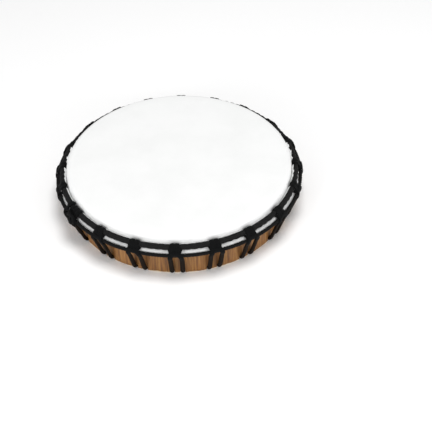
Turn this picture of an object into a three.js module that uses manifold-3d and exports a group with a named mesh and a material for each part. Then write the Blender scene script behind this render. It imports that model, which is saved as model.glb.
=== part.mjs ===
import * as THREE from 'three';
import { mergeVertices } from 'three/addons/utils/BufferGeometryUtils.js';
import Module from 'manifold-3d';

// A frame drum that lies on its open back, in millimetres, with +Z up. The origin is on the floor, on the drum's
// axis. A radius is measured from that axis, and an angle is in degrees, counter-clockwise from +X.

// Shell
const shellOuterRadius = 142.5;
const shellWall = 8;
const bearingRounding = 5.5;
const bearingBevel = 1.2;

// Drumhead
const drumHeight = 61.5;
const skinThickness = 1;
const bandWidth = 8.9;
const bandHeight = 10;
const bandStandOff = 1.25;
const bandDrop = 8.85;

// Crown ring and tie cord
const crownRingThickness = 7;
const crownRingDrop = 11.8;
const tieCordThickness = 5;
const tieCordRise = 1.25;

// Lacing rope
const ropeThickness = 5;
const ropeLift = 0.35;
const runLean = 0.5;
const hitchWidth = 15.2;
const hitchTop = 1.5;
const hitchWall = 2.6;
const hitchOver = 1.4;
const hitchInside = 1.25;
const hitchDrop = 2.2;
const runSpacing = 13.4;
const knotWidth = 20;
const knotDepth = 6;
const knotHeight = 20;
const knotRise = 3;

// The hitches are tied by hand, a little unevenly, at these angles, and the first has the knot of the rope's ends
const hitchAngles = [
	213, 232, 250.5, 269, 287, 304.5, 324, 343.5, 361, 379,
	396.5, 415, 432, 450, 467.5, 485.5, 503.5, 522.5, 539, 554.5
];

// Hand ring
const handRingDiameter = 64;
const handRingThickness = 7.6;

// Clearance between pieces that touch, and the facets of round forms
const clearance = 0.35;
const hitchFacet = 6;
const ringSides = 8;
const ropeSides = 6;
const tieSides = 5;
const knotSides = 10;
const slotReach = 3;

// How far the middle point of a rounded corner lies inside the square corner, as a share of the rounding
const cornerShare = 1 - Math.SQRT1_2;

// How far the rope's centre stands out from the shell where it turns under the edge, in rope radii
const turnShare = 0.75;

// Places that follow from the sizes
const nextHitchAngles = [ ...hitchAngles.slice( 1 ), hitchAngles[ 0 ] + 360 ];
const gapAngles = hitchAngles.map( ( angle, index ) => ( angle + nextHitchAngles[ index ] ) / 2 );
const facetAngles = hitchAngles.flatMap( ( angle, index ) => [
	angle - hitchFacet / 2,
	angle + hitchFacet / 2,
	gapAngles[ index ]
] );
const facetFactor = Math.cos( THREE.MathUtils.degToRad( hitchFacet / 2 ) );
const skinInnerRadius = shellOuterRadius + clearance;
const skinOuterRadius = skinInnerRadius + skinThickness;
const ropeRadius = ropeThickness / 2;
const ropeHeight = ropeLift + ropeRadius;

const crownRadius = crownRingThickness / 2;
const crownCentre = new THREE.Vector2(
	skinOuterRadius + hitchInside + 2 * clearance + crownRadius,
	drumHeight - crownRingDrop
);
const bandCentre = new THREE.Vector2(
	skinInnerRadius + bandStandOff + bandWidth / 2,
	crownCentre.y - bandDrop
);
const tieRadius = tieCordThickness / 2;
const tieCentre = new THREE.Vector2(
	bandCentre.x + bandWidth / 2 + clearance + tieRadius,
	bandCentre.y + tieCordRise
);

// The top end of each run down the shell, inside its hitch and below the tie cord
const runTop = new THREE.Vector2( tieCentre.x - clearance, tieCentre.y - tieRadius - clearance - ropeRadius / 2 );

const handRingRadius = handRingThickness / 2;
const loopRadius = ( handRingRadius + clearance + ropeRadius ) / Math.cos( Math.PI / ropeSides );
const handRingCentre = new THREE.Vector2( handRingDiameter / 2, ropeHeight + loopRadius );

const slotWidth = ropeThickness + 2 * clearance;
const slotHeight = ropeLift + ropeThickness + 2 * clearance;
const runAngle = THREE.MathUtils.radToDeg( runSpacing / 2 / crownCentre.x );

// Solids

const wasm = await Module();
wasm.setup();

function solid( geometry ) {

	geometry.deleteAttribute( 'normal' );
	geometry.deleteAttribute( 'uv' );
	const merged = mergeVertices( geometry, 1e-4 );
	return new wasm.Manifold( new wasm.Mesh( {
		numProp: 3,
		vertProperties: new Float32Array( merged.attributes.position.array ),
		triVerts: new Uint32Array( merged.index.array )
	} ) );

}

function geometryOf( body ) {

	const mesh = body.getMesh();
	const geometry = new THREE.BufferGeometry();
	geometry.setAttribute( 'position', new THREE.BufferAttribute( new Float32Array( mesh.vertProperties ), 3 ) );
	geometry.setIndex( new THREE.BufferAttribute( new Uint32Array( mesh.triVerts ), 1 ) );
	geometry.computeVertexNormals();
	return geometry;

}

// A solid of revolution whose facets meet at the given angles. By default one facet is centred on each hitch.

function turned( profile, angles = facetAngles ) {

	const geometry = new THREE.LatheGeometry( profile, angles.length );
	const position = geometry.attributes.position;
	for ( let i = 0; i < position.count; i ++ ) {

		const column = Math.floor( i / profile.length ) % angles.length;
		const point = profile[ i % profile.length ];
		position.setXYZ( i, ...place( point.x, angles[ column ], point.y ) );

	}

	return solid( geometry );

}

function circlePoints( centre, radius, sides ) {

	const points = [];
	for ( let i = 0; i <= sides; i ++ ) {

		const angle = 2 * Math.PI * ( i % sides ) / sides;
		points.push( polar( centre, radius, radius, angle ) );

	}

	return points;

}

function polar( centre, width, height, angle ) {

	return new THREE.Vector2( centre.x + width * Math.cos( angle ), centre.y + height * Math.sin( angle ) );

}

// A point at a radius, an angle and a height.

function place( radius, angle, height ) {

	const turn = THREE.MathUtils.degToRad( angle );
	return new THREE.Vector3( radius * Math.cos( turn ), radius * Math.sin( turn ), height );

}

// Puts a form drawn with x outwards and y upwards, at an angle round the drum.

function stand( geometry, angle ) {

	const turn = THREE.MathUtils.degToRad( angle );
	const outwards = new THREE.Vector3( Math.cos( turn ), Math.sin( turn ), 0 );
	const upwards = new THREE.Vector3( 0, 0, 1 );
	const sideways = new THREE.Vector3().crossVectors( outwards, upwards );
	geometry.applyMatrix4( new THREE.Matrix4().makeBasis( outwards, upwards, sideways ) );
	return geometry;

}

function slab( profile, width, angle ) {

	const geometry = new THREE.ExtrudeGeometry( new THREE.Shape( profile ), { depth: width, bevelEnabled: false } );
	geometry.translate( 0, 0, - width / 2 );
	return solid( stand( geometry, angle ) );

}

// A path through chosen points, with mitred corners.

class Route extends THREE.Curve {

	constructor( points ) {

		super();
		this.points = points;

	}

	getPoint( t ) {

		const last = this.points.length - 1;
		const along = t * last;
		const index = Math.min( Math.floor( along ), last - 1 );
		return this.points[ index ].clone().lerp( this.points[ index + 1 ], along - index );

	}

	getTangent( t ) {

		const last = this.points.length - 1;
		const index = Math.round( t * last );
		const before = this.points[ Math.max( index - 1, 0 ) ];
		const here = this.points[ index ];
		const after = this.points[ Math.min( index + 1, last ) ];
		const arriving = here.clone().sub( before ).normalize();
		const leaving = after.clone().sub( here ).normalize();
		return arriving.add( leaving ).normalize();

	}

	getPointAt( u ) {

		return this.getPoint( u );

	}

	getTangentAt( u ) {

		return this.getTangent( u );

	}

}

function rope( points ) {

	const section = new THREE.Shape( circlePoints( new THREE.Vector2(), ropeRadius, ropeSides ) );
	const path = new Route( points );
	const geometry = new THREE.ExtrudeGeometry( section, { steps: points.length - 1, extrudePath: path } );
	return solid( geometry );

}

// Sub-parts

function makeShell() {

	const top = drumHeight - skinThickness - clearance;
	const inner = shellOuterRadius - shellWall;
	const crest = shellOuterRadius - bearingRounding;
	const hoop = turned( [
		new THREE.Vector2( inner, 0 ),
		new THREE.Vector2( shellOuterRadius, 0 ),
		new THREE.Vector2( shellOuterRadius, top - bearingRounding ),
		new THREE.Vector2( shellOuterRadius - cornerShare * bearingRounding, top - cornerShare * bearingRounding ),
		new THREE.Vector2( crest, top ),
		new THREE.Vector2( inner, top - bearingBevel ),
		new THREE.Vector2( inner, 0 )
	] );
	let shell = hoop;
	for ( const angle of slotAngles() ) shell = shell.subtract( makeSlot( angle ) );
	return shell;

}

// The angles at which the rope runs under the shell's edge.

function slotAngles() {

	return hitchAngles.flatMap( ( angle ) => [ angle + runLean - runAngle, angle + runLean + runAngle ] );

}

function makeSlot( angle ) {

	const length = shellWall + 2 * slotReach;
	const geometry = new THREE.BoxGeometry( length, slotHeight + slotReach, slotWidth );
	geometry.translate( shellOuterRadius - shellWall / 2, ( slotHeight - slotReach ) / 2, 0 );
	return solid( stand( geometry, angle ) );

}

function makeDrumhead() {

	const flat = skinOuterRadius - bearingRounding - skinThickness;
	const under = drumHeight - skinThickness;
	const shoulder = skinThickness + bearingRounding;
	const profile = [
		new THREE.Vector2( 0, under ),
		new THREE.Vector2( flat, under ),
		new THREE.Vector2( skinInnerRadius - cornerShare * bearingRounding, under - cornerShare * bearingRounding ),
		new THREE.Vector2( skinInnerRadius, drumHeight - shoulder ),
		new THREE.Vector2( skinInnerRadius, bandCentre.y )
	];
	for ( const turn of [ 215, 270, 315, 0, 45, 95 ] ) {

		const angle = THREE.MathUtils.degToRad( turn );
		profile.push( polar( bandCentre, bandWidth / 2, bandHeight / 2, angle ) );

	}

	profile.push(
		new THREE.Vector2( skinOuterRadius, bandCentre.y + bandHeight / 2 + skinThickness ),
		new THREE.Vector2( skinOuterRadius, drumHeight - shoulder ),
		new THREE.Vector2( skinOuterRadius - cornerShare * shoulder, drumHeight - cornerShare * shoulder ),
		new THREE.Vector2( flat, drumHeight ),
		new THREE.Vector2( 0, drumHeight )
	);
	return turned( profile );

}

function makeHitch( angle ) {

	const reach = crownRadius + clearance;
	const thickness = { 180: hitchInside, 135: hitchInside, 90: hitchTop, 45: hitchWall, 0: hitchWall };
	const outer = [];
	const inner = [];
	for ( const turn of [ 180, 135, 90, 45, 0 ] ) {

		const around = THREE.MathUtils.degToRad( turn );
		const outside = reach + thickness[ turn ];
		outer.push( polar( crownCentre, outside, outside, around ) );
		inner.push( polar( crownCentre, reach, reach, around ) );

	}

	const foot = polar( crownCentre, reach, reach, THREE.MathUtils.degToRad( 225 ) );
	outer.unshift( new THREE.Vector2( crownCentre.x - reach - hitchInside, foot.y ) );
	inner.unshift( foot );
	const tieReach = ( tieRadius + clearance ) / Math.cos( Math.PI / 6 );
	for ( const turn of [ 105, 45, - 15, - 75 ] ) {

		inner.push( polar( tieCentre, tieReach, tieReach, THREE.MathUtils.degToRad( turn ) ) );

	}

	const bottom = tieCentre.y - tieRadius - hitchDrop;
	const wallOut = tieCentre.x + tieRadius + clearance + hitchOver;
	inner.push( new THREE.Vector2( runTop.x - ropeRadius, bottom ) );
	outer.push( new THREE.Vector2( wallOut, tieCentre.y + tieRadius ) );
	outer.push( new THREE.Vector2( wallOut, tieCentre.y - tieRadius ) );
	outer.push( new THREE.Vector2( runTop.x + ropeRadius, bottom ) );
	const profile = outer.concat( inner.reverse() );
	for ( const point of profile ) point.x *= facetFactor;
	return slab( profile, hitchWidth, angle );

}

// One run of the rope from a hitch, down the shell and through its slot, round the hand ring and back up to the next
// hitch. It leans a little on its way down.

function makeRun( index ) {

	const from = hitchAngles[ index ] + runAngle;
	const to = nextHitchAngles[ index ] - runAngle;
	const spread = THREE.MathUtils.radToDeg( ropeRadius / handRingCentre.x );
	const corner = [ shellOuterRadius + clearance + turnShare * ropeRadius, ropeHeight + clearance ];
	const inside = [ shellOuterRadius - shellWall, ropeHeight ];
	const points = [
		place( runTop.x, from, runTop.y ),
		place( corner[ 0 ], from + runLean, corner[ 1 ] )
	];
	const turns = [ 270, 210, 150, 90 ];
	turns.forEach( ( turn, step ) => {

		const at = polar( handRingCentre, loopRadius, loopRadius, THREE.MathUtils.degToRad( turn ) );
		const share = step / ( turns.length - 1 ) * 2 - 1;
		points.push( place( at.x, gapAngles[ index ] + share * spread, at.y ) );

	} );
	points.push(
		place( inside[ 0 ], to + runLean, inside[ 1 ] ),
		place( corner[ 0 ], to + runLean, corner[ 1 ] ),
		place( runTop.x, to, runTop.y )
	);
	return rope( points );

}

// The tied ends, as one rounded lump outside the tie cord and against its hitch.

function makeKnot() {

	const geometry = new THREE.SphereGeometry( 0.5, knotSides, knotSides / 2 );
	geometry.scale( knotDepth, knotHeight, knotWidth );
	geometry.translate( tieCentre.x + tieRadius + clearance + knotDepth / 2, tieCentre.y + knotRise, 0 );
	return solid( stand( geometry, hitchAngles[ 0 ] ) );

}

function makeLacingRope() {

	let lacing = makeKnot();
	hitchAngles.forEach( ( angle, index ) => {

		lacing = lacing.add( makeHitch( angle ) ).add( makeRun( index ) );

	} );

	return lacing;

}

// The drum

const drum = new THREE.Group();

function addPiece( name, body, color, roughness, metalness = 0 ) {

	const material = new THREE.MeshStandardMaterial( { color, roughness, metalness } );
	const mesh = new THREE.Mesh( geometryOf( body ), material );
	mesh.name = name;
	drum.add( mesh );

}

addPiece( 'shell', makeShell(), 0x9f6f40, 0.55 );
addPiece( 'drumhead', makeDrumhead(), 0xf2f0ea, 0.6 );
addPiece( 'crown_ring', turned( circlePoints( crownCentre, crownRadius, ringSides ) ), 0x1c1c1e, 0.8 );
addPiece( 'tie_cord', turned( circlePoints( tieCentre, tieRadius, tieSides ) ), 0x1a1a1b, 0.8 );
addPiece( 'lacing_rope', makeLacingRope(), 0x201a18, 0.8 );
addPiece( 'hand_ring', turned( circlePoints( handRingCentre, handRingRadius, ropeSides ), gapAngles ), 0x1c1c1e, 0.8 );

export default drum;
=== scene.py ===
import math

import bpy
import numpy as np
from mathutils import Matrix, Vector


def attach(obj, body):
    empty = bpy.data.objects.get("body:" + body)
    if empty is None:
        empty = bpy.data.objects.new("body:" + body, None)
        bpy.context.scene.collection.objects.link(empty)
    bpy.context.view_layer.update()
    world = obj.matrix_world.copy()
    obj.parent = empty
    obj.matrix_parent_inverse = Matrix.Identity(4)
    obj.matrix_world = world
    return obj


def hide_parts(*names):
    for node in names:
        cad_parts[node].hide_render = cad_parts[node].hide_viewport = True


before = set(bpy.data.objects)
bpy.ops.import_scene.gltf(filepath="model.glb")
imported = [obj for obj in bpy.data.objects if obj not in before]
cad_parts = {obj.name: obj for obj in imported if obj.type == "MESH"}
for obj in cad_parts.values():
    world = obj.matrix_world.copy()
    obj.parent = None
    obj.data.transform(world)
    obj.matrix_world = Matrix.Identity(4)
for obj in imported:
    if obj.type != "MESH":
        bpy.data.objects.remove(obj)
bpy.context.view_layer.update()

# Lengths are in millimetres here and are scaled when a mesh is made. The drum's axis is Z, and the floor is at zero.
MM = 0.001

# Shell
SHELL_OUTER = 142.5
SHELL_INNER = 134.5
SHELL_TOP = 60.15
SHELL_ROUNDING = 5.5
SHELL_BEVEL = 1.2
SHELL_EDGE = 0.7

# Skin and the band where it folds round its hoop
DRUM_HEIGHT = 61.5
SKIN_INNER = 142.85
SKIN_THICKNESS = 1.0
BAND_RADIUS = 148.55
BAND_HEIGHT = 40.85
BAND_HALF_WIDTH = 4.45
BAND_HALF_HEIGHT = 5.0

# The trimmed edge of the skin, standing up inside the crown ring
FRINGE_RADIUS = 144.9
FRINGE_THICKNESS = 0.9
FRINGE_BASE = 46.5
FRINGE_TOP = 53.0
FRINGE_LEAN = 0.5
FRINGE_PRESS = 2.6
FRINGE_LOW = 48.5

# Crown ring and tie cord
CROWN_RADIUS = 149.3
CROWN_HEIGHT = 49.7
CROWN_THICKNESS = 7.2
TIE_RADIUS = 155.85
TIE_HEIGHT = 42.1
TIE_THICKNESS = 4.7
TIE_BULGE = 0.0

# Lacing rope
ROPE = 5.0
ROPE_HEIGHT = 2.85
RUN_WIDTH = 6.0
RUN_SPACING = 13.4
RUN_LEAN = 0.5
LEG_SPACING = 6.6
LEG_WIDTH = 6.6
LEG_THICKNESS = 1.3
LEG_LEAN = 0.35
LEG_PINCH = 0.3
LEG_NARROWING = 1.6
BIGHT_SPAN = 13.8
BIGHT_WIDTH = 4.8
BIGHT_THICKNESS = 2.2
BIGHT_RADIUS = 157.9
BIGHT_HEIGHT = 45.6
BIGHT_TILT = -0.37
SLOT_WIDTH = 5.7
SLOT_HEIGHT = 6.05

# The hitches are tied by hand, a little unevenly, at these angles, and the first has the knot of the rope's ends
HITCH_ANGLES = np.array([
    213.0, 232.0, 250.5, 269.0, 287.0, 304.5, 324.0, 343.5, 361.0, 379.0,
    396.5, 415.0, 432.0, 450.0, 467.5, 485.5, 503.5, 522.5, 539.0, 554.5,
])
NEXT_ANGLES = np.append(HITCH_ANGLES[1:], HITCH_ANGLES[0] + 360.0)

# Knot of the rope's ends
KNOT_ANGLE = 213.4
KNOT_RADIUS = 160.0
KNOT_LEAN = 0.3
KNOT_HEIGHT = 45.6
KNOT_ROPE = 4.8
KNOT_SPREAD = 3.1
KNOT_DEPTH = 1.1
TAIL_SHIFT = 4.0
TAIL_WIDTH = 17.0
TAIL_LENGTH = 12.0
WIND_LEANS = (-4.0, 3.5)
WIND_WIDTH = 7.0
WIND_THICKNESS = 1.8

# Hand ring
HAND_RING_RADIUS = 32.0
HAND_RING_HEIGHT = 10.53
HAND_RING_THICKNESS = 7.6
LOOP_RADIUS = 7.68

RUN_ANGLE = math.degrees(RUN_SPACING / 2 / CROWN_RADIUS)
SLOT_ANGLE = math.degrees(SLOT_WIDTH / 2 / SHELL_OUTER)

# Camera, fitted to the photograph's 432 by 432 pixels
PHOTO_SIZE = 432
DRUM_PIXEL = (180.7, 195.3)
FOCAL_PIXELS = 956.0
CAMERA_DISTANCE = 1264.5
CAMERA_ELEVATION = 42.41
CAMERA_ROLL = -0.95
SENSOR = 36.0


# Meshes

def place(radius, angle, height):
    """Points at radii, angles in degrees and heights."""
    turn = np.radians(angle)
    return np.stack(np.broadcast_arrays(radius * np.cos(turn), radius * np.sin(turn), height), axis=-1)


def sideways(angle):
    turn = np.radians(angle)
    return np.stack(np.broadcast_arrays(-np.sin(turn), np.cos(turn), 0.0), axis=-1)


def unit(vectors):
    return vectors / np.linalg.norm(vectors, axis=-1, keepdims=True)


def grid_faces(rows, columns, wrap_rows, wrap_columns):
    """Quads of a grid of points, rows first."""
    i = np.arange(rows if wrap_rows else rows - 1)[:, None]
    j = np.arange(columns if wrap_columns else columns - 1)[None, :]
    i_next = (i + 1) % rows
    j_next = (j + 1) % columns
    corners = (i * columns + j, i * columns + j_next, i_next * columns + j_next, i_next * columns + j)
    return np.stack(np.broadcast_arrays(*corners), axis=-1).reshape(-1, 4)


def join(parts):
    """One set of points, faces and lay values from several."""
    points, faces, lay = [], [], []
    start = 0
    for part_points, part_faces, part_lay in parts:
        points.append(part_points)
        lay.append(part_lay)
        faces.extend([corner + start for corner in face] for face in part_faces)
        start += len(part_points)
    return np.concatenate(points), faces, np.concatenate(lay)


def make_object(name, part, material):
    points, faces, lay = part
    mesh = bpy.data.meshes.new(name)
    mesh.from_pydata((points * MM).tolist(), [], faces)
    mesh.polygons.foreach_set("use_smooth", [True] * len(mesh.polygons))
    if lay is not None:
        attribute = mesh.attributes.new("lay", "FLOAT_VECTOR", "POINT")
        attribute.data.foreach_set("vector", lay.astype(np.float32).ravel())
    mesh.materials.append(material)
    piece = bpy.data.objects.new(name, mesh)
    bpy.context.collection.objects.link(piece)
    return piece


def lathe(profile, angles, shift=None):
    """A closed profile of radii and heights, turned round the axis through a rising list of angles."""
    radius, height = np.asarray(profile, float).T
    radius = np.broadcast_to(radius[None, :], (len(angles), len(radius))).copy()
    height = np.broadcast_to(height[None, :], radius.shape).copy()
    if shift is not None:
        shift(radius, height, angles)
    points = place(radius, np.asarray(angles)[:, None], height).reshape(-1, 3)
    faces = grid_faces(len(angles), len(profile), True, True)[:, ::-1]
    return points, faces.tolist(), None


def sweep(path, side, width, height, count, closed=False, size=None):
    """An oval section swept along a path. Its width lies along the side direction, and size varies it."""
    tangent = np.roll(path, -1, 0) - np.roll(path, 1, 0) if closed else np.gradient(path, axis=0)
    tangent = unit(tangent)
    side = unit(side - tangent * np.sum(side * tangent, axis=1, keepdims=True))
    normal = np.cross(tangent, side)
    steps = np.linalg.norm(np.diff(path, axis=0), axis=1)
    along = np.concatenate(([0.0], np.cumsum(steps)))
    turn = 2 * np.pi * np.arange(count) / count
    scale = np.ones((len(path), count)) if size is None else size(turn, along)
    across = scale * np.cos(turn)[None, :] * np.broadcast_to(width, len(path))[:, None] / 2
    up = scale * np.sin(turn)[None, :] * np.broadcast_to(height, len(path))[:, None] / 2
    points = path[:, None, :] + across[..., None] * side[:, None, :] + up[..., None] * normal[:, None, :]
    faces = grid_faces(len(path), count, closed, True).tolist()
    if not closed:
        faces.append(list(range(count))[::-1])
        faces.append([(len(path) - 1) * count + j for j in range(count)])
    lay = np.stack(np.broadcast_arrays(np.cos(turn)[None, :], np.sin(turn)[None, :], along[:, None]), axis=-1)
    return points.reshape(-1, 3), faces, lay.reshape(-1, 3)


def smoothed(stations, spacing, rounds=3):
    """Rounds the corners of a list of stations and spaces them evenly. A station's first three values are its place."""
    for _ in range(rounds):
        early = 0.75 * stations[:-1] + 0.25 * stations[1:]
        late = 0.25 * stations[:-1] + 0.75 * stations[1:]
        middle = np.stack((early, late), axis=1).reshape(-1, stations.shape[1])
        stations = np.concatenate((stations[:1], middle, stations[-1:]))
    steps = np.linalg.norm(np.diff(stations[:, :3], axis=0), axis=1)
    along = np.concatenate(([0.0], np.cumsum(steps)))
    even = np.linspace(0.0, along[-1], max(int(along[-1] / spacing), 2))
    return np.stack([np.interp(even, along, column) for column in stations.T], axis=1)


def strands(count, lay, groove):
    """The section of a laid rope: round strands that twist once in each lay."""
    def size(turn, along):
        phase = count * (turn[None, :] - 2 * np.pi * along[:, None] / lay)
        return 1 - groove * (1 - np.abs(np.cos(phase / 2)))
    return size


def coils(pitch, groove):
    """The section of a hoop wrapped in cord, one turn in each pitch."""
    def size(turn, along):
        phase = np.pi * along[:, None] / pitch + turn[None, :] / 2
        return 1 - groove * (1 - np.sqrt(np.abs(np.cos(phase))))
    return size


def ripple(angles, lowest, highest, seed):
    """A smooth unevenness round the drum, about 1 high, that closes on itself."""
    numbers = np.random.default_rng(seed)
    total = np.zeros(len(angles))
    for waves in range(lowest, highest):
        total += numbers.normal() * np.sin(waves * np.radians(angles) + numbers.uniform(0, 2 * np.pi))
    return total / math.sqrt((highest - lowest) / 2)


# Materials

def new_material(name):
    material = bpy.data.materials.new(name)
    material.use_nodes = True
    nodes = material.node_tree.nodes
    nodes.clear()
    output = nodes.new("ShaderNodeOutputMaterial")
    shader = nodes.new("ShaderNodeBsdfPrincipled")
    material.node_tree.links.new(shader.outputs["BSDF"], output.inputs["Surface"])
    return material, shader


class Nodes:
    """Short calls for a material's nodes."""

    def __init__(self, material):
        self.tree = material.node_tree

    def add(self, kind, **values):
        node = self.tree.nodes.new("ShaderNode" + kind)
        for key, value in values.items():
            setattr(node, key, value)
        return node

    def feed(self, socket, source):
        if isinstance(source, bpy.types.NodeSocket):
            self.tree.links.new(source, socket)
        else:
            socket.default_value = source

    def math(self, operation, *sources, clamp=False):
        node = self.add("Math", operation=operation, use_clamp=clamp)
        for socket, source in zip(node.inputs, sources):
            self.feed(socket, source)
        return node.outputs["Value"]

    def noise(self, vector, scale, detail=2.0, roughness=0.5):
        node = self.add("TexNoise")
        self.feed(node.inputs["Vector"], vector)
        node.inputs["Scale"].default_value = scale
        node.inputs["Detail"].default_value = detail
        node.inputs["Roughness"].default_value = roughness
        return node.outputs["Fac"]

    def place_in(self, scale=(1.0, 1.0, 1.0)):
        """The place on the object in millimetres, times a scale."""
        coordinates = self.add("TexCoord")
        mapping = self.add("Mapping")
        self.feed(mapping.inputs["Vector"], coordinates.outputs["Object"])
        mapping.inputs["Scale"].default_value = tuple(value / MM for value in scale)
        return mapping.outputs["Vector"]

    def ramp(self, source, *stops):
        """A colour ramp from pairs of position and colour."""
        node = self.add("ValToRGB")
        self.feed(node.inputs["Fac"], source)
        elements = node.color_ramp.elements
        while len(elements) < len(stops):
            elements.new(0.5)
        for element, (position, color) in zip(elements, stops):
            element.position = position
            element.color = (*color, 1.0)
        return node.outputs["Color"]

    def mix(self, share, first, second, blend="MIX"):
        node = self.add("Mix", data_type="RGBA", blend_type=blend)
        self.feed(node.inputs["Factor"], share)
        for name, source in (("A", first), ("B", second)):
            socket = next(s for s in node.inputs if s.name == name and s.type == "RGBA")
            self.feed(socket, source if isinstance(source, bpy.types.NodeSocket) else (*source, 1.0))
        return next(s for s in node.outputs if s.type == "RGBA")

    def span(self, source, low, high, low_out=0.0, high_out=1.0):
        node = self.add("MapRange")
        self.feed(node.inputs["Value"], source)
        for key, value in (("From Min", low), ("From Max", high), ("To Min", low_out), ("To Max", high_out)):
            node.inputs[key].default_value = value
        return node.outputs["Result"]

    def bump(self, shader, height, distance, strength=1.0):
        node = self.add("Bump")
        node.inputs["Strength"].default_value = strength
        node.inputs["Distance"].default_value = distance * MM
        self.feed(node.inputs["Height"], height)
        self.feed(shader.inputs["Normal"], node.outputs["Normal"])


def wood_material():
    material, shader = new_material("oiled_wood")
    nodes = Nodes(material)
    fine = nodes.noise(nodes.place_in((1.0, 1.0, 0.035)), 0.62, 3.0, 0.6)
    broad = nodes.noise(nodes.place_in((1.0, 1.0, 0.06)), 0.09, 2.0, 0.5)
    fleck_noise = nodes.noise(nodes.place_in((1.0, 1.0, 0.09)), 2.2, 2.0, 0.6)
    base = nodes.ramp(fine, (0.34, (0.16, 0.063, 0.014)), (0.5, (0.28, 0.12, 0.028)), (0.66, (0.4, 0.2, 0.055)))
    tint = nodes.ramp(broad, (0.35, (0.78, 0.74, 0.68)), (0.62, (1.0, 1.0, 1.0)))
    colored = nodes.mix(1.0, base, tint, "MULTIPLY")
    dark = nodes.span(fleck_noise, 0.62, 0.72)
    colored = nodes.mix(nodes.math("MULTIPLY", dark, 0.45), colored, (0.16, 0.07, 0.025))
    # Paler along the bottom edge, up to about 1.6 mm above the floor, with a ragged top line.
    height = nodes.add("SeparateXYZ")
    nodes.feed(height.inputs["Vector"], nodes.place_in())
    tone_source = nodes.math("ADD", height.outputs["Z"], nodes.span(broad, 0.3, 0.7, -1.2, 1.2))
    pale = nodes.span(tone_source, 1.6, 0.4)
    colored = nodes.mix(nodes.math("MULTIPLY", pale, 0.75), colored, (0.78, 0.64, 0.42))
    nodes.feed(shader.inputs["Base Color"], colored)
    nodes.feed(shader.inputs["Roughness"], nodes.span(fine, 0.3, 0.7, 0.5, 0.64))
    relief = nodes.math("SUBTRACT", fine, nodes.math("MULTIPLY", dark, 0.6))
    nodes.bump(shader, relief, 0.25)
    return material


def skin_material(name, speck_share, speck_scale, speck_color):
    material, shader = new_material(name)
    nodes = Nodes(material)
    cloudy = nodes.noise(nodes.place_in(), 0.018, 4.0, 0.55)
    fleck_noise = nodes.noise(nodes.place_in(), speck_scale, 3.0, 0.6)
    base = nodes.ramp(cloudy, (0.3, (0.82, 0.826, 0.82)), (0.6, (0.86, 0.864, 0.86)))
    # Specks of speck_color where the noise peaks. On the skin's trimmed edge they are partly dark hairs and partly
    # painted shade in the gaps between the tufts.
    speck = nodes.span(fleck_noise, 0.62, 0.72)
    colored = nodes.mix(nodes.math("MULTIPLY", speck, speck_share), base, speck_color)
    nodes.feed(shader.inputs["Base Color"], colored)
    nodes.feed(shader.inputs["Roughness"], nodes.span(cloudy, 0.3, 0.7, 0.62, 0.5))
    nodes.bump(shader, nodes.math("ADD", fleck_noise, nodes.math("MULTIPLY", cloudy, 3.0)), 0.12)
    return material


def lay_values(nodes):
    """How far round the rope, in turns, and how far along it, in millimetres."""
    attribute = nodes.add("Attribute", attribute_name="lay")
    parts = nodes.add("SeparateXYZ")
    nodes.feed(parts.inputs["Vector"], attribute.outputs["Vector"])
    turn = nodes.math("ARCTAN2", parts.outputs["Y"], parts.outputs["X"])
    return nodes.math("DIVIDE", turn, 2 * math.pi), parts.outputs["Z"]


def stripes(nodes, around, along, count, pitch):
    """Round-backed yarns, a whole count of them in each turn round the rope."""
    across = nodes.math("ADD", nodes.math("MULTIPLY", around, float(count)), nodes.math("DIVIDE", along, pitch))
    return nodes.math("ABSOLUTE", nodes.math("SINE", nodes.math("MULTIPLY", across, math.pi)))


def cord_finish(nodes, shader, relief, dark, light, distance):
    fibres = nodes.noise(nodes.place_in(), 2.4, 3.0, 0.65)
    # The yarns' crowns are coloured lighter and the grooves between them darker: painted highlight and painted shade
    # along the relief, varied at random by the fibre noise.
    tone_source = nodes.math("MULTIPLY", relief, nodes.span(fibres, 0.3, 0.7, 0.5, 1.0))
    nodes.feed(shader.inputs["Base Color"], nodes.mix(nodes.span(tone_source, 0.25, 1.0), dark, light))
    shader.inputs["Roughness"].default_value = 0.72
    shader.inputs["Specular IOR Level"].default_value = 0.05
    shader.inputs["Sheen Weight"].default_value = 0.02
    shader.inputs["Sheen Roughness"].default_value = 0.45
    nodes.bump(shader, nodes.math("ADD", relief, nodes.math("MULTIPLY", fibres, 0.4)), distance)


def laid_material(name, count, pitch, dark, light):
    """Cord whose fine yarns run along its strands."""
    material, shader = new_material(name)
    nodes = Nodes(material)
    around, along = lay_values(nodes)
    cord_finish(nodes, shader, stripes(nodes, around, along, count, pitch), dark, light, 0.3)
    return material


def braided_material(name, count, pitch, upper, lower):
    """Braided rope that is bluer on the hitches and browner on the runs below them."""
    material, shader = new_material(name)
    nodes = Nodes(material)
    around, along = lay_values(nodes)
    one_way = stripes(nodes, around, along, count, pitch)
    other_way = stripes(nodes, around, along, count, -pitch)
    braid = nodes.math("MAXIMUM", one_way, other_way)
    relief = nodes.math("SUBTRACT", nodes.math("MULTIPLY", braid, 1.6), 0.6)
    height = nodes.add("SeparateXYZ")
    nodes.feed(height.inputs["Vector"], nodes.place_in())
    high = nodes.span(height.outputs["Z"], 33.0, 41.0)
    dark = nodes.mix(high, lower[0], upper[0])
    light = nodes.mix(high, lower[1], upper[1])
    cord_finish(nodes, shader, relief, dark, light, 0.3)
    return material


# Pieces

def from_hitches(angles, places=HITCH_ANGLES):
    """How far each angle is from the nearest of the places, in degrees."""
    apart = (np.asarray(angles)[:, None] - places[None, :] + 180.0) % 360.0 - 180.0
    return apart[np.arange(len(apart)), np.abs(apart).argmin(axis=1)]


def slot_places():
    middle = HITCH_ANGLES + RUN_LEAN
    return np.concatenate((middle - RUN_ANGLE, middle + RUN_ANGLE))


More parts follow.
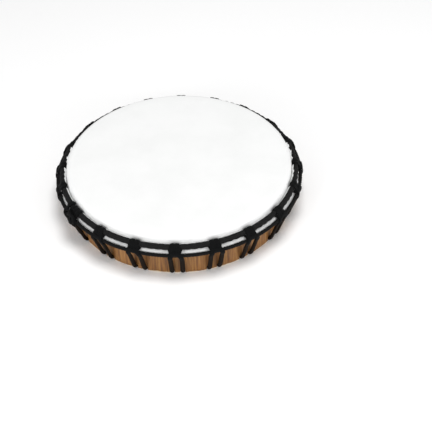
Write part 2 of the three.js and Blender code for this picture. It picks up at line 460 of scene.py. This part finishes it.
def slot_rise(angles):
    """How high the shell's bottom edge stands at each angle: up in an arch in each slot, and on the floor elsewhere."""
    share = np.abs(from_hitches(angles, slot_places())) / SLOT_ANGLE
    arch = SLOT_HEIGHT - SLOT_WIDTH * 0.22 * np.clip(share, 0, 1) ** 3
    return np.where(share < 1, arch, 0.0)


def shell_angles():
    """Even columns round the shell, with closer ones across each slot."""
    edge = 0.02
    shares = np.array((-1 - edge, -1 + edge, -0.7, -0.35, 0.0, 0.35, 0.7, 1 - edge, 1 + edge))
    across = (slot_places()[:, None] + shares[None, :] * SLOT_ANGLE).ravel() % 360.0
    even = np.arange(0.0, 360.0, 0.75)
    clear = np.abs(from_hitches(even, slot_places())) > SLOT_ANGLE * 1.15
    return np.sort(np.concatenate((across, even[clear])))


def arc(centre, radius, start, end, count):
    turns = np.radians(np.linspace(start, end, count))
    width, height = np.broadcast_to(radius, 2)
    return [(centre[0] + width * math.cos(turn), centre[1] + height * math.sin(turn)) for turn in turns]


def make_shell():
    crest = (SHELL_OUTER - SHELL_ROUNDING, SHELL_TOP - SHELL_ROUNDING)
    foot = [
        (SHELL_INNER, SHELL_EDGE),
        (SHELL_INNER + SHELL_EDGE, 0.0),
        (SHELL_OUTER - SHELL_EDGE, 0.0),
        (SHELL_OUTER, SHELL_EDGE),
    ]
    outside = [(SHELL_OUTER, height) for height in (7.0, 12.0, 20.0, 30.0, 40.0, 50.0)]
    rounding = arc(crest, SHELL_ROUNDING, 0, 90, 8)
    inside = [(SHELL_INNER, height) for height in (SHELL_TOP - SHELL_BEVEL, 50.0, 35.0, 20.0, 7.0)]
    profile = foot + outside + rounding + inside

    def shift(radius, height, angles):
        height[:, :len(foot)] += slot_rise(angles)[:, None]

    shell = make_object("wooden_shell", lathe(profile, shell_angles(), shift), wood_material())
    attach(shell, "root")
    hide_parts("shell")


def make_skin(material):
    under = DRUM_HEIGHT - SKIN_THICKNESS
    bend = SHELL_ROUNDING + SKIN_THICKNESS
    bend_centre = (SKIN_INNER - SHELL_ROUNDING, under - SHELL_ROUNDING)
    flat = [bend_centre[0] * share for share in (0.0, 0.1, 0.25, 0.4, 0.55, 0.7, 0.82, 0.92)]
    profile = [(radius, under) for radius in flat]
    profile += arc(bend_centre, SHELL_ROUNDING, 90, 0, 8)
    profile += [(SKIN_INNER, 50.0), (SKIN_INNER, 44.0)]
    band_start = len(profile)
    profile += arc((BAND_RADIUS, BAND_HEIGHT), (BAND_HALF_WIDTH, BAND_HALF_HEIGHT), 215, 470, 34)
    band_end = len(profile)
    outer = SKIN_INNER + SKIN_THICKNESS
    profile += [(outer, height) for height in (46.6, 48.5, 51.0, 53.5)]
    profile += arc(bend_centre, bend, 0, 90, 12)
    profile += [(radius, DRUM_HEIGHT) for radius in flat[::-1]]

    def shift(radius, height, angles):
        swell = 0.16 * ripple(angles, 20, 90, 3)
        band = slice(band_start + 2, band_end - 2)
        radius[:, band] += swell[:, None]
        height[:, band] += 0.16 * ripple(angles, 25, 80, 4)[:, None]

    angles = np.arange(0.0, 360.0, 0.75)
    skin = make_object("skin", lathe(profile, angles, shift), material)
    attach(skin, "root")
    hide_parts("drumhead")


def make_fringe(material):
    """The skin's trimmed edge: a thin ragged collar of short tufts that leans out over the crown ring."""
    angles = np.arange(0.0, 360.0, 0.4)
    numbers = np.random.default_rng(11)
    tufts = np.repeat(numbers.uniform(-1.0, 1.0, len(angles) // 4), 4) + numbers.uniform(-0.5, 0.5, len(angles))
    top = FRINGE_TOP + 1.1 * tufts + 0.35 * ripple(angles, 4, 30, 12)
    pressed = np.clip((FRINGE_PRESS - np.abs(from_hitches(angles))) / 0.6, 0, 1)
    top = top + pressed * (FRINGE_LOW - top)
    points = []
    for side, shares in ((-1, (0.0, 0.4, 0.7, 1.0)), (1, (1.0, 0.7, 0.4, 0.0))):
        for share in shares:
            height = FRINGE_BASE + share * (top - FRINGE_BASE)
            radius = FRINGE_RADIUS + FRINGE_LEAN * np.clip(height - 50.0, 0, None)
            points.append(place(radius + side * FRINGE_THICKNESS * (0.5 - 0.3 * share), angles, height))
    grid = np.stack(points, axis=1)
    faces = grid_faces(len(angles), len(points), True, True)[:, ::-1]
    fringe = make_object("skin_fringe", (grid.reshape(-1, 3), faces.tolist(), None), material)
    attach(fringe, "root")


def make_crown_ring():
    lays = 36
    count = lays * 30
    angles = 360.0 * np.arange(count) / count
    path = place(CROWN_RADIUS, angles, CROWN_HEIGHT)
    lay = 2 * math.pi * CROWN_RADIUS / lays
    part = sweep(path, unit(place(1.0, angles, 0.0)), CROWN_THICKNESS, CROWN_THICKNESS, 26, True, strands(3, lay, 0.2))
    ring = make_object("crown_ring_rope", part, laid_material("ring_wrap", 24, lay / 6, (0.001, 0.001, 0.001), (0.034, 0.034, 0.0345)))
    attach(ring, "root")
    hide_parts("crown_ring")


def make_tie_cord():
    lays = 96
    count = lays * 14
    angles = 360.0 * np.arange(count) / count
    middles = (HITCH_ANGLES + NEXT_ANGLES) / 2
    chord = TIE_RADIUS / np.cos(np.radians(from_hitches(angles, middles)))
    radius = np.minimum(chord, TIE_RADIUS + TIE_BULGE)
    path = place(radius, angles, TIE_HEIGHT)
    length = np.linalg.norm(np.diff(path, axis=0, append=path[:1]), axis=1).sum()
    part = sweep(path, unit(place(1.0, angles, 0.0)), TIE_THICKNESS, TIE_THICKNESS, 18, True, strands(3, length / lays, 0.2))
    cord = make_object("tie_cord_twist", part, laid_material("tie_cord", 12, 2.4, (0.003, 0.003, 0.003), (0.018, 0.0175, 0.0175)))
    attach(cord, "root")
    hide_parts("tie_cord")


def leg_stations(angle, side):
    """A leg of a hitch from behind the crown ring, over it and down to the shell's foot, as places and section."""
    reach = CROWN_THICKNESS / 2 + LEG_THICKNESS / 2
    over = arc((CROWN_RADIUS, CROWN_HEIGHT), reach, 215, 15, 9)
    outside = TIE_RADIUS + TIE_BULGE + TIE_THICKNESS / 2 + LEG_THICKNESS / 2
    rows = []
    for radius, height in over:
        inside = (CROWN_RADIUS + reach - radius) / (2 * reach)
        rows.append((radius, height, -LEG_PINCH * inside, LEG_WIDTH - LEG_NARROWING * inside, LEG_THICKNESS))
    rows += [
        (155.4, 48.0, 0.0, LEG_WIDTH + 0.8, LEG_THICKNESS),
        (157.4, 46.4, 0.1, LEG_WIDTH + 0.8, LEG_THICKNESS),
        (outside - 0.4, 44.6, 0.45, LEG_WIDTH - 0.6, LEG_THICKNESS),
        (outside, 42.8, 0.7, LEG_WIDTH - 1.0, LEG_THICKNESS),
        (outside - 0.2, 41.0, 0.85, RUN_WIDTH, LEG_THICKNESS + 0.4),
        (158.1, 39.2, 0.95, RUN_WIDTH, LEG_THICKNESS + 1.4),
        (156.5, 37.2, 1.0, RUN_WIDTH, ROPE - 1.2),
        (155.1, 35.0, 1.0, RUN_WIDTH, ROPE - 0.8),
    ]
    stations = []
    for radius, height, share, width, thickness in rows:
        spread = (1 - share) * math.degrees(LEG_SPACING / 2 / radius) + share * RUN_ANGLE
        stations.append((*place(radius, angle + side * spread + share * LEG_LEAN, height), width, thickness))
    return stations


def run_stations(angle, next_angle):
    """One run of the rope, from a hitch to the next by way of the hand ring."""
    start = angle + RUN_ANGLE + RUN_LEAN
    end = next_angle - RUN_ANGLE + RUN_LEAN
    middle = (angle + next_angle) / 2
    spread = math.degrees(ROPE / 2 / HAND_RING_RADIUS)
    foot = [(151.6, 25.0), (148.5, 15.5), (146.2, 8.5), (145.1, 5.9), (143.8, 4.2), (142.0, 3.3), (139.5, ROPE_HEIGHT)]
    route = [(radius, start, height) for radius, height in foot]
    turns = np.linspace(270, 90, 9)
    for share, turn in zip(np.linspace(-1, 1, len(turns)), np.radians(turns)):
        radius = HAND_RING_RADIUS + LOOP_RADIUS * math.cos(turn)
        route.append((radius, middle + share * spread, HAND_RING_HEIGHT + LOOP_RADIUS * math.sin(turn)))
    route += [(SHELL_INNER, end, ROPE_HEIGHT)]
    route += [(radius, end, height) for radius, height in foot[::-1]]
    runs = []
    for radius, turn, height in route:
        width = RUN_WIDTH if radius > SHELL_OUTER + ROPE / 2 else ROPE + 0.3
        runs.append((*place(radius, turn, height), width, ROPE - 0.6))
    return leg_stations(angle, 1) + runs + leg_stations(next_angle, -1)[::-1]


def make_runs(material):
    parts = []
    for angle, next_angle in zip(HITCH_ANGLES, NEXT_ANGLES):
        stations = smoothed(np.array(run_stations(angle, next_angle)), 1.5)
        path = stations[:, :3]
        bearing = np.degrees(np.arctan2(path[:, 1], path[:, 0]))
        parts.append(sweep(path, sideways(bearing), stations[:, 3], stations[:, 4], 12))
    runs = make_object("lacing_rope_runs", join(parts), material)
    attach(runs, "root")
    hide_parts("lacing_rope")


def bight_part(angle):
    """The bight of a hitch, across its two legs and tucked in under the crown ring at both ends."""
    half = BIGHT_SPAN / 2 - BIGHT_THICKNESS / 2
    rows = [
        (CROWN_RADIUS + 2.2, half + 1.6, CROWN_HEIGHT - 2.4, BIGHT_WIDTH - 1.0),
        (BIGHT_RADIUS - 4.0, half + 0.8, BIGHT_HEIGHT + 1.2, BIGHT_WIDTH - 0.4),
        (BIGHT_RADIUS - 1.2, half, BIGHT_HEIGHT + 0.2, BIGHT_WIDTH),
        (BIGHT_RADIUS, half * 0.55, BIGHT_HEIGHT, BIGHT_WIDTH),
        (BIGHT_RADIUS, 0.0, BIGHT_HEIGHT, BIGHT_WIDTH),
    ]
    rows += [(radius, -offset, height, width) for radius, offset, height, width in rows[-2::-1]]
    stations = [
        (*place(radius, angle + math.degrees(offset / radius), height), width) for radius, offset, height, width in rows
    ]
    stations = smoothed(np.array(stations), 0.5, 2)
    path = stations[:, :3]
    outwards = unit(place(1.0, np.full(len(path), angle), 0.0))
    up = BIGHT_TILT * outwards + np.array((0.0, 0.0, 1.0))
    return sweep(path, up, stations[:, 3], BIGHT_THICKNESS, 14)


def make_bights(material):
    parts = [bight_part(angle) for angle in HITCH_ANGLES]
    bights = make_object("lacing_rope_bights", join(parts), material)
    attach(bights, "root")


def make_hand_ring():
    turns = 66
    count = turns * 7
    angles = 360.0 * np.arange(count) / count
    path = place(HAND_RING_RADIUS, angles, HAND_RING_HEIGHT)
    pitch = 2 * math.pi * HAND_RING_RADIUS / turns
    side = unit(place(1.0, angles, 0.0))
    part = sweep(path, side, HAND_RING_THICKNESS, HAND_RING_THICKNESS, 20, True, coils(pitch, 0.14))
    material = laid_material("hand_ring_wrap", 1, pitch, (0.003, 0.003, 0.003), (0.02, 0.02, 0.0205))
    ring = make_object("hand_ring_wrap", part, material)
    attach(ring, "root")
    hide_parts("hand_ring")


def knot_frame(points):
    """Points given across, up and out from the middle of the end knot, in the drum's own frame."""
    across, up, out = np.asarray(points).T
    radius = KNOT_RADIUS + out - KNOT_LEAN * np.clip(up, 0, None)
    return place(radius, KNOT_ANGLE + np.degrees(across / KNOT_RADIUS), KNOT_HEIGHT + up)


def knot_loop():
    """One turn of rope in a tight three-cornered knot."""
    turn = np.linspace(0, 2 * np.pi, 160, endpoint=False)
    across = KNOT_SPREAD * 1.15 * (np.sin(turn) + 2 * np.sin(2 * turn))
    up = KNOT_SPREAD * 0.85 * (np.cos(turn) - 2 * np.cos(2 * turn))
    out = -KNOT_DEPTH * np.sin(3 * turn)
    path = knot_frame(np.column_stack((across, up, out)))
    outwards = unit(place(1.0, np.full(len(path), KNOT_ANGLE), 0.0))
    return sweep(path, outwards, KNOT_ROPE - 1.6, KNOT_ROPE, 14, closed=True)


def knot_yarn(across, numbers):
    """A combed-out yarn of the cut ends, hanging from the knot."""
    start = np.array((across * TAIL_WIDTH / 2 + TAIL_SHIFT, 0.0, -0.6)) + numbers.normal(size=3) * (0.3, 0.4, 0.8)
    length = TAIL_LENGTH * numbers.uniform(0.84, 1.0) * (1 - 0.25 * across ** 2)
    end = start * (0.92, 1.0, 0.4) + numbers.normal(size=3) * (0.4, 0.2, 0.4) - (0.0, length, 0.8)
    middle = (start + end) / 2 + numbers.normal(size=3) * (0.3, 0.0, 0.3) + (0.0, 0.0, 0.9)
    places = knot_frame([start, middle, end])
    stations = smoothed(np.column_stack((places, (2.0, 1.9, 1.2))), 1.0, 2)
    side = np.tile(sideways(KNOT_ANGLE), (len(stations), 1))
    return sweep(stations[:, :3], side, stations[:, 3], stations[:, 3], 6)


def knot_wind(lean):
    """A turn of the rope's end round the crown ring and the tie cord, beside the knot's hitch."""
    reach = CROWN_THICKNESS / 2 + WIND_THICKNESS / 2
    outside = TIE_RADIUS + TIE_THICKNESS / 2
    rows = arc((CROWN_RADIUS, CROWN_HEIGHT), reach, 215, 15, 9)
    rows += [(157.0, 46.4), (outside, 44.6), (outside + 0.8, 42.4), (outside + 0.4, 40.4), (156.8, 38.8), (154.2, 38.0)]
    stations = [(*place(radius, HITCH_ANGLES[0] + lean, height), WIND_WIDTH, WIND_THICKNESS) for radius, height in rows]
    stations = smoothed(np.array(stations), 1.5)
    path = stations[:, :3]
    side = np.tile(sideways(HITCH_ANGLES[0] + lean), (len(path), 1))
    return sweep(path, side, stations[:, 3], stations[:, 4], 12)


def make_end_knot(material):
    numbers = np.random.default_rng(5)
    yarns = [knot_yarn(across, numbers) for across in np.linspace(-1, 1, 40)]
    winds = [knot_wind(lean) for lean in WIND_LEANS]
    knot = make_object("end_knot", join([knot_loop()] + winds + yarns), material)
    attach(knot, "root")


# Studio

def make_floor():
    material, shader = new_material("studio_floor")
    shader.inputs["Base Color"].default_value = (0.99, 0.99, 0.99, 1.0)
    shader.inputs["Roughness"].default_value = 0.9
    size = 3000.0
    points = np.array([(-size, -size, 0.0), (size, -size, 0.0), (size, size, 0.0), (-size, size, 0.0)])
    floor = make_object("floor", (points, [[0, 1, 2, 3]], None), material)


def make_light(name, location, size, power, target=(0.0, 0.0, 0.03)):
    light = bpy.data.lights.new(name, "AREA")
    light.shape = "DISK"
    light.size = size
    light.energy = power
    lamp = bpy.data.objects.new(name, light)
    lamp.location = location
    lamp.rotation_euler = (Vector(target) - Vector(location)).to_track_quat("-Z", "Y").to_euler()
    bpy.context.collection.objects.link(lamp)


def make_lights():
    make_light("key_light", (0.2, -0.3, 2.0), 0.9, 22.0)
    make_light("left_light", (-1.1, -1.5, 0.65), 1.0, 13.0)
    make_light("right_light", (1.5, -1.2, 0.65), 1.0, 10.0)
    world = bpy.data.worlds.new("studio")
    world.use_nodes = True
    world.node_tree.nodes["Background"].inputs["Color"].default_value = (1.0, 1.0, 1.0, 1.0)
    world.node_tree.nodes["Background"].inputs["Strength"].default_value = 0.46
    bpy.context.scene.world = world
    bpy.context.scene.view_settings.view_transform = "Standard"


def make_camera():
    elevation = math.radians(CAMERA_ELEVATION)
    roll = math.radians(CAMERA_ROLL)
    right = Vector((1.0, 0.0, 0.0))
    forward = Vector((0.0, math.cos(elevation), -math.sin(elevation)))
    up = Vector((0.0, math.sin(elevation), math.cos(elevation)))
    turned_right = right * math.cos(roll) + up * math.sin(roll)
    turned_up = up * math.cos(roll) - right * math.sin(roll)
    middle = PHOTO_SIZE / 2
    across = (DRUM_PIXEL[0] - middle) / FOCAL_PIXELS
    rise = (middle - DRUM_PIXEL[1]) / FOCAL_PIXELS
    towards = (turned_right * across + turned_up * rise + forward).normalized()
    data = bpy.data.cameras.new("camera")
    data.sensor_width = SENSOR
    data.lens = FOCAL_PIXELS / PHOTO_SIZE * SENSOR
    data.clip_end = 20.0
    camera = bpy.data.objects.new("camera", data)
    camera.matrix_world = Matrix.Translation(-towards * CAMERA_DISTANCE * MM) @ Matrix(
        (
            (turned_right.x, turned_up.x, -forward.x),
            (turned_right.y, turned_up.y, -forward.y),
            (turned_right.z, turned_up.z, -forward.z),
        )
    ).to_4x4()
    bpy.context.collection.objects.link(camera)
    bpy.context.scene.camera = camera


make_camera()
skin_finish = skin_material("goat_skin", 0.06, 1.1, (0.3, 0.27, 0.24))
rope_finish = braided_material(
    "black_rope", 6, 2.2, ((0.0015, 0.0015, 0.0015), (0.009, 0.0095, 0.01)), ((0.003, 0.0015, 0.0005), (0.015, 0.0075, 0.003))
)
make_shell()
make_skin(skin_finish)
# The trimmed edge's dark specks are partly dark hairs and partly painted shade in the gaps between its tufts.
make_fringe(skin_material("goat_skin_edge", 0.9, 0.5, (0.1, 0.09, 0.08)))
make_crown_ring()
make_tie_cord()
make_runs(rope_finish)
make_bights(rope_finish)
make_end_knot(rope_finish)
make_hand_ring()
make_floor()
make_lights()
